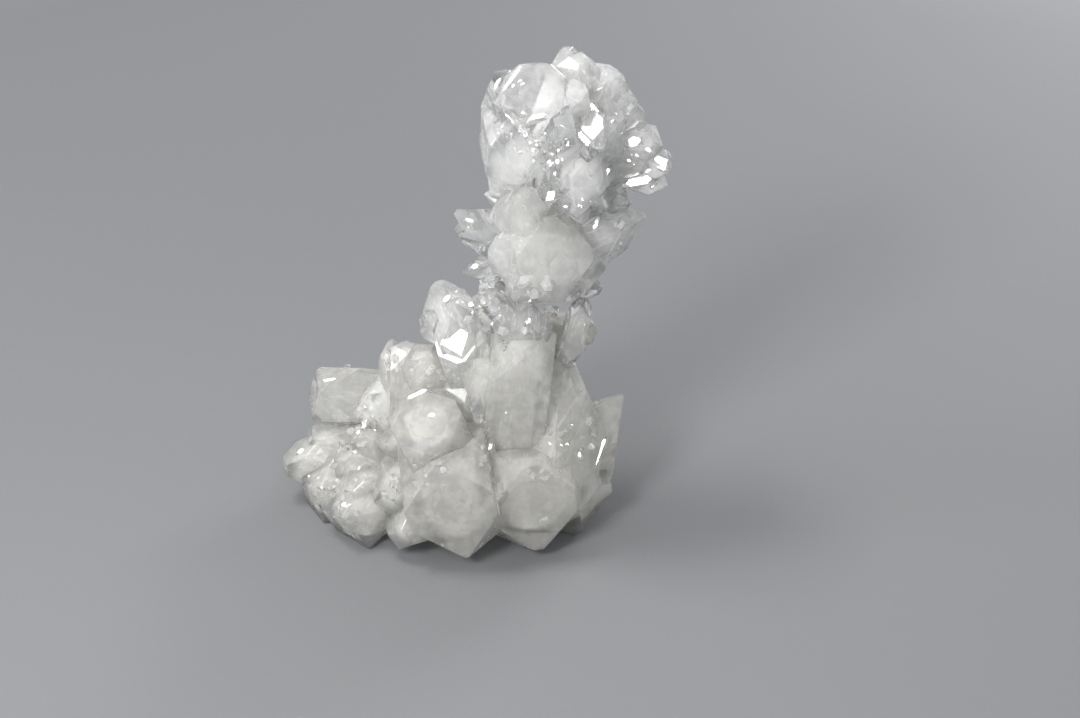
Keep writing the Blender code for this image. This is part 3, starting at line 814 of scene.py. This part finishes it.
# ------------------------------------------------------------------ materials
class Nodes:
    """Short names for building a node tree."""

    def __init__(self, name):
        self.mat = bpy.data.materials.new(name)
        self.mat.use_nodes = True
        self.tree = self.mat.node_tree
        self.shader = self.tree.nodes["Principled BSDF"]
        self.out = self.tree.nodes["Material Output"]

    def new(self, kind, **values):
        node = self.tree.nodes.new(kind)
        for key, value in values.items():
            setattr(node, key, value)
        return node

    def put(self, socket, value):
        if isinstance(value, bpy.types.NodeSocket):
            self.tree.links.new(value, socket)
        elif value is not None:
            socket.default_value = value

    def math(self, operation, a, b=None, c=None, clamp=False):
        node = self.new("ShaderNodeMath", operation=operation, use_clamp=clamp)
        for socket, value in zip(node.inputs, (a, b, c)):
            self.put(socket, value)
        return node.outputs[0]

    def vector(self, operation, a, b=None, scale=None):
        node = self.new("ShaderNodeVectorMath", operation=operation)
        self.put(node.inputs[0], a)
        self.put(node.inputs[1], b)
        if scale is not None:
            self.put(node.inputs["Scale"], scale)
        return node.outputs["Value"] if operation == "DOT_PRODUCT" else node.outputs["Vector"]

    def attribute(self, name, out="Fac"):
        return self.new("ShaderNodeAttribute", attribute_name=name).outputs[out]

    def noise(self, place, scale, detail=3.0, rough=0.55, distortion=0.0, dims="3D", w=None):
        node = self.new("ShaderNodeTexNoise", noise_dimensions=dims)
        if dims != "1D":
            self.put(node.inputs["Vector"], place)
        if w is not None:
            self.put(node.inputs["W"], w)
        node.inputs["Scale"].default_value = scale
        node.inputs["Detail"].default_value = detail
        node.inputs["Roughness"].default_value = rough
        node.inputs["Distortion"].default_value = distortion
        return node.outputs["Fac"]

    def spread(self, value, lo, hi, to_lo=0.0, to_hi=1.0, smooth=True):
        node = self.new("ShaderNodeMapRange", interpolation_type="SMOOTHSTEP" if smooth else "LINEAR")
        self.put(node.inputs["Value"], value)
        for key, number in (("From Min", lo), ("From Max", hi), ("To Min", to_lo), ("To Max", to_hi)):
            self.put(node.inputs[key], number)
        return node.outputs["Result"]

    def ramp(self, value, stops):
        node = self.new("ShaderNodeValToRGB")
        while len(node.color_ramp.elements) < len(stops):
            node.color_ramp.elements.new(0.5)
        for element, (pos, colour) in zip(node.color_ramp.elements, stops):
            element.position, element.color = pos, colour
        self.put(node.inputs[0], value)
        return node.outputs["Color"]

    def bump(self, height, strength, distance, normal=None):
        node = self.new("ShaderNodeBump")
        node.inputs["Strength"].default_value = strength
        node.inputs["Distance"].default_value = distance
        self.put(node.inputs["Height"], height)
        if normal is not None:
            self.put(node.inputs["Normal"], normal)
        return node.outputs["Normal"]


def crystal_material():
    n = Nodes("apophyllite_crystal")
    s = n.shader.inputs
    place = n.new("ShaderNodeTexCoord").outputs["Object"]
    milky, tone, grain = n.attribute("milky"), n.attribute("tone"), n.attribute("grain")
    axis = n.attribute("c_axis", "Vector")
    facing = n.new("ShaderNodeNewGeometry").outputs["True Normal"]
    shift = n.new("ShaderNodeCombineXYZ")
    for socket in shift.inputs:
        n.put(socket, n.math("MULTIPLY", grain, 0.31))
    own = n.vector("ADD", place, shift.outputs[0])

    # which kind of face this is, from its angle to the crystal's length
    square = n.math("ABSOLUTE", n.vector("DOT_PRODUCT", facing, axis))
    on_prism = n.spread(square, 0.12, 0.3, 1.0, 0.0)
    on_base = n.spread(square, 0.85, 0.95)

    # cloudiness: per crystal, with wisps, frost in fibres, and clear windows
    wisps = n.noise(own, 210.0, 2.0, 0.68)
    frost = n.noise(fibres(n, own, 0.16), 1250.0, 1.0, 0.7)
    milk = n.math("MULTIPLY", milky, n.spread(wisps, 0.34, 0.66, 0.80, 1.18))
    frosted = n.math("MULTIPLY", n.spread(frost, 0.56, 0.68), n.spread(tone, 0.28, 0.46))
    frosted = n.math("MULTIPLY", frosted, n.math("MULTIPLY_ADD", on_base, -0.7, 1.0))
    frosted = n.math("MULTIPLY", frosted, n.spread(tone, 0.55, 0.75, 1.0, 0.4))
    milk = n.math("MULTIPLY_ADD", frosted, n.math("MULTIPLY_ADD", milky, -0.20, 0.21), milk)
    n.put(s["Transmission Weight"], n.math("MULTIPLY_ADD", milk, -0.55, 0.99, clamp=True))

    n.put(s["Base Color"], n.ramp(tone, ((0.0, (0.80, 0.82, 0.84, 1)), (0.5, (0.955, 0.96, 0.945, 1)),
                                         (1.0, (0.78, 0.755, 0.68, 1)))))

    etched = n.spread(wisps, 0.50, 0.66)
    rough = n.math("MULTIPLY_ADD", etched, n.math("MULTIPLY_ADD", milky, 0.16, 0.02),
                   n.math("MULTIPLY_ADD", milky, 0.05, 0.008))
    rough = n.math("MULTIPLY_ADD", on_base, 0.03, rough)
    n.put(s["Roughness"], rough)

    # fine ribs along prism faces, growth hillocks on the others, slow waves on all
    across = n.vector("DOT_PRODUCT", own, n.vector("CROSS_PRODUCT", facing, axis))
    ribs = n.noise(None, 1300.0, 2.0, 0.65, dims="1D", w=across)
    hill = n.noise(own, 620.0, 1.0, 0.6)
    height = n.math("MULTIPLY", ribs, n.math("MULTIPLY", on_prism, 0.55))
    height = n.math("MULTIPLY_ADD", hill, n.math("MULTIPLY_ADD", on_prism, -0.30, 0.50), height)
    wave = n.noise(own, 110.0, 0.0)
    height = n.math("MULTIPLY_ADD", height, n.spread(wave, 0.40, 0.62, 0.3, 1.0), n.math("MULTIPLY", wave, 1.1))
    n.put(s["Normal"], n.bump(height, 0.5, 0.00014))

    s["IOR"].default_value = 1.535
    s["Subsurface Weight"].default_value = 1.0
    s["Subsurface Radius"].default_value = (1.0, 1.0, 0.96)
    s["Subsurface Scale"].default_value = 0.006
    s["Specular IOR Level"].default_value = 0.5
    return n.mat


def fibres(n, place, stretch=0.14):
    """Position squeezed along each crystal's length, so noise runs out in fibres."""
    axis = n.attribute("c_axis", "Vector")
    along = n.vector("DOT_PRODUCT", place, axis)
    return n.vector("ADD", place, n.vector("SCALE", axis, scale=n.math("MULTIPLY", along, stretch - 1.0)))


def middle_material():
    n = Nodes("milky_middle")
    s = n.shader.inputs
    place = n.new("ShaderNodeTexCoord").outputs["Object"]
    milky = n.attribute("milky")
    big = n.noise(place, 70.0, 2.0, 0.6, 0.5)
    fine = n.noise(fibres(n, place), 520.0, 3.0, 0.7)
    n.put(s["Base Color"], n.ramp(big, ((0.3, (0.95, 0.95, 0.94, 1)), (0.7, (0.90, 0.90, 0.87, 1)))))
    alpha = n.math("ADD", n.spread(big, 0.30, 0.64, 0.66, 0.92), n.spread(fine, 0.40, 0.66, -0.07, 0.08))
    alpha = n.math("MULTIPLY", alpha, n.math("MULTIPLY_ADD", milky, 0.95, 0.42))
    n.put(s["Alpha"], n.math("MINIMUM", alpha, 0.97))
    s["Roughness"].default_value = 0.6
    s["IOR"].default_value = 1.1
    s["Subsurface Weight"].default_value = 1.0
    s["Subsurface Radius"].default_value = (1.0, 1.0, 0.97)
    s["Subsurface Scale"].default_value = 0.003
    n.put(s["Normal"], n.bump(fine, 0.4, 0.0005))
    return n.mat


def veil_material():
    n = Nodes("healed_fracture")
    s = n.shader.inputs
    place = n.new("ShaderNodeTexCoord").outputs["Object"]
    wide = n.noise(place, 120.0, 2.0, 0.6, 0.8)
    fine = n.noise(place, 900.0, 2.0, 0.75)
    drops = n.new("ShaderNodeTexVoronoi", feature="F1")
    n.put(drops.inputs["Vector"], place)
    drops.inputs["Scale"].default_value = 1500.0
    dots = n.spread(drops.outputs["Distance"], 0.18, 0.34, 1.0, 0.0)
    body = n.math("MULTIPLY", n.spread(wide, 0.40, 0.66), n.spread(fine, 0.40, 0.72))
    alpha = n.math("MULTIPLY_ADD", dots, 0.35, n.math("MULTIPLY", body, 0.8))
    alpha = n.math("MULTIPLY", alpha, n.spread(n.attribute("fade"), 0.0, 0.8), clamp=True)
    n.put(s["Alpha"], n.math("MULTIPLY", alpha, 0.75))
    s["Base Color"].default_value = (0.95, 0.95, 0.94, 1)
    n.put(s["Roughness"], n.spread(fine, 0.3, 0.7, 0.25, 0.6))
    s["IOR"].default_value = 1.3
    n.put(s["Normal"], n.bump(fine, 0.6, 0.0004))
    return n.mat


def parting_material():
    n = Nodes("bright_parting")
    s = n.shader.inputs
    place = n.new("ShaderNodeTexCoord").outputs["Object"]
    wide = n.noise(place, 260.0, 2.0, 0.55, 0.6)
    fine = n.noise(place, 1100.0, 1.0, 0.6)
    alpha = n.math("MULTIPLY", n.spread(wide, 0.40, 0.58), n.spread(n.attribute("fade"), 0.0, 0.25))
    n.put(s["Alpha"], n.math("MULTIPLY", alpha, 0.85, clamp=True))
    n.put(s["Base Color"], n.ramp(fine, ((0.40, (0.72, 0.84, 1.0, 1)), (0.50, (1.0, 0.80, 0.90, 1)),
                                         (0.58, (1.0, 0.99, 0.94, 1)))))
    n.put(s["Roughness"], n.spread(fine, 0.3, 0.7, 0.05, 0.22))
    s["IOR"].default_value = 2.1
    n.put(s["Normal"], n.bump(fine, 0.35, 0.0002))
    return n.mat


def grain_material(name, dark, light, rough):
    n = Nodes(name)
    s = n.shader.inputs
    place = n.new("ShaderNodeTexCoord").outputs["Object"]
    mix = n.noise(place, 1800.0, 4.0, 0.65)
    n.put(s["Base Color"], n.ramp(mix, ((0.35, dark), (0.65, light))))
    n.put(s["Roughness"], n.spread(mix, 0.3, 0.7, rough, rough + 0.2))
    n.put(s["Normal"], n.bump(mix, 0.6, 0.0001))
    return n.mat


skin.data.materials.clear()
skin.data.materials.append(crystal_material())
middle.data.materials.clear()
middle.data.materials.append(middle_material())
veil.data.materials.append(veil_material())
parting.data.materials.append(parting_material())
specks.data.materials.append(grain_material("dark_mineral", (0.020, 0.018, 0.015, 1), (0.10, 0.085, 0.06, 1), 0.35))
seam.data.materials.append(grain_material("tan_mineral", (0.32, 0.26, 0.18, 1), (0.62, 0.56, 0.44, 1), 0.5))
dust.data.materials.append(grain_material("white_dust", (0.82, 0.82, 0.80, 1), (0.95, 0.95, 0.93, 1), 0.4))

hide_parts(NODE)
for piece in (skin, middle, veil, parting, specks, seam, dust):
    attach(piece, "root")


# ---------------------------------------------------------------------- stage
def floor_material():
    n = Nodes("pale_floor")
    s = n.shader.inputs
    place = n.new("ShaderNodeTexCoord").outputs["Object"]
    soft = n.noise(place, 3.0, 3.0, 0.5)
    away = n.new("ShaderNodeVectorMath", operation="LENGTH")
    n.put(away.inputs[0], place)
    # painted light: the floor's colour runs from dark grey near the middle to pale far out, making up for the
    # lamps' light falling off with distance; a faint noise adds random tone
    soft = n.math("MULTIPLY_ADD", soft, 0.06, n.spread(away.outputs["Value"], 0.15, 1.9, 0.07, 0.87, smooth=False))
    n.put(s["Base Color"], n.ramp(soft, ((0.0, (0.128, 0.132, 0.139, 1)), (0.2, (0.146, 0.150, 0.157, 1)),
                                         (1.0, (0.66, 0.67, 0.69, 1)))))
    s["Roughness"].default_value = 0.75
    n.put(s["Normal"], n.bump(n.noise(place, 900.0, 3.0, 0.6), 0.12, 0.0004))
    return n.mat


mesh = bpy.data.meshes.new("floor")
bm = bmesh.new()
bmesh.ops.create_grid(bm, x_segments=8, y_segments=8, size=3.0)
bm.to_mesh(mesh)
bm.free()
floor = bpy.data.objects.new("floor", mesh)
bpy.context.scene.collection.objects.link(floor)
floor.data.materials.append(floor_material())


def soft_light(name, way, far, size, power, colour, target=(0.0, 0.0, 0.065)):
    light = bpy.data.lights.new(name, "AREA")
    light.shape, light.size, light.size_y = "RECTANGLE", size[0], size[1]
    light.energy, light.color = power, colour
    obj = bpy.data.objects.new(name, light)
    bpy.context.scene.collection.objects.link(obj)
    way = Vector(way).normalized()
    obj.location = Vector(target) + way * far
    obj.rotation_euler = (-way).to_track_quat("-Z", "Y").to_euler()
    return obj


soft_light("key", KEY_WAY, KEY_FAR, (0.26, 0.26), 6.0, (1.0, 0.985, 0.96))
soft_light("left", (-0.92, -0.10, 0.38), 0.8, (0.20, 0.30), 1.6, (0.97, 0.985, 1.0))
soft_light("back", (0.55, 0.75, 0.36), 0.8, (0.30, 0.20), 3.4, (1.0, 1.0, 1.0))
soft_light("high", HIGH_SPOT - Vector((0.025, 0.0, 0.112)), 0.42, (0.11, 0.11), 1.9, (1.0, 0.99, 0.97), (0.025, 0.0, 0.112))

world = bpy.data.worlds.new("studio")
bpy.context.scene.world = world
world.use_nodes = True
world.node_tree.nodes["Background"].inputs["Color"].default_value = (0.97, 0.98, 1.0, 1)
world.node_tree.nodes["Background"].inputs["Strength"].default_value = 0.74

camera = bpy.data.objects.new("camera", bpy.data.cameras.new("camera"))
camera.data.lens = 70.0
camera.data.sensor_width = 36.0
camera.data.clip_start = 0.01
camera.data.dof.use_dof = False
camera.location = (eye() - SHIFT) * MM
camera.rotation_euler = (math.radians(90.0) - VIEW_TILT, 0.0, 0.0)
bpy.context.scene.collection.objects.link(camera)
bpy.context.scene.camera = camera
scene = bpy.context.scene
scene.view_settings.view_transform = "Standard"
scene.cycles.max_bounces = 8
scene.cycles.diffuse_bounces = 3
scene.cycles.transmission_bounces = 8
scene.cycles.transparent_max_bounces = 12
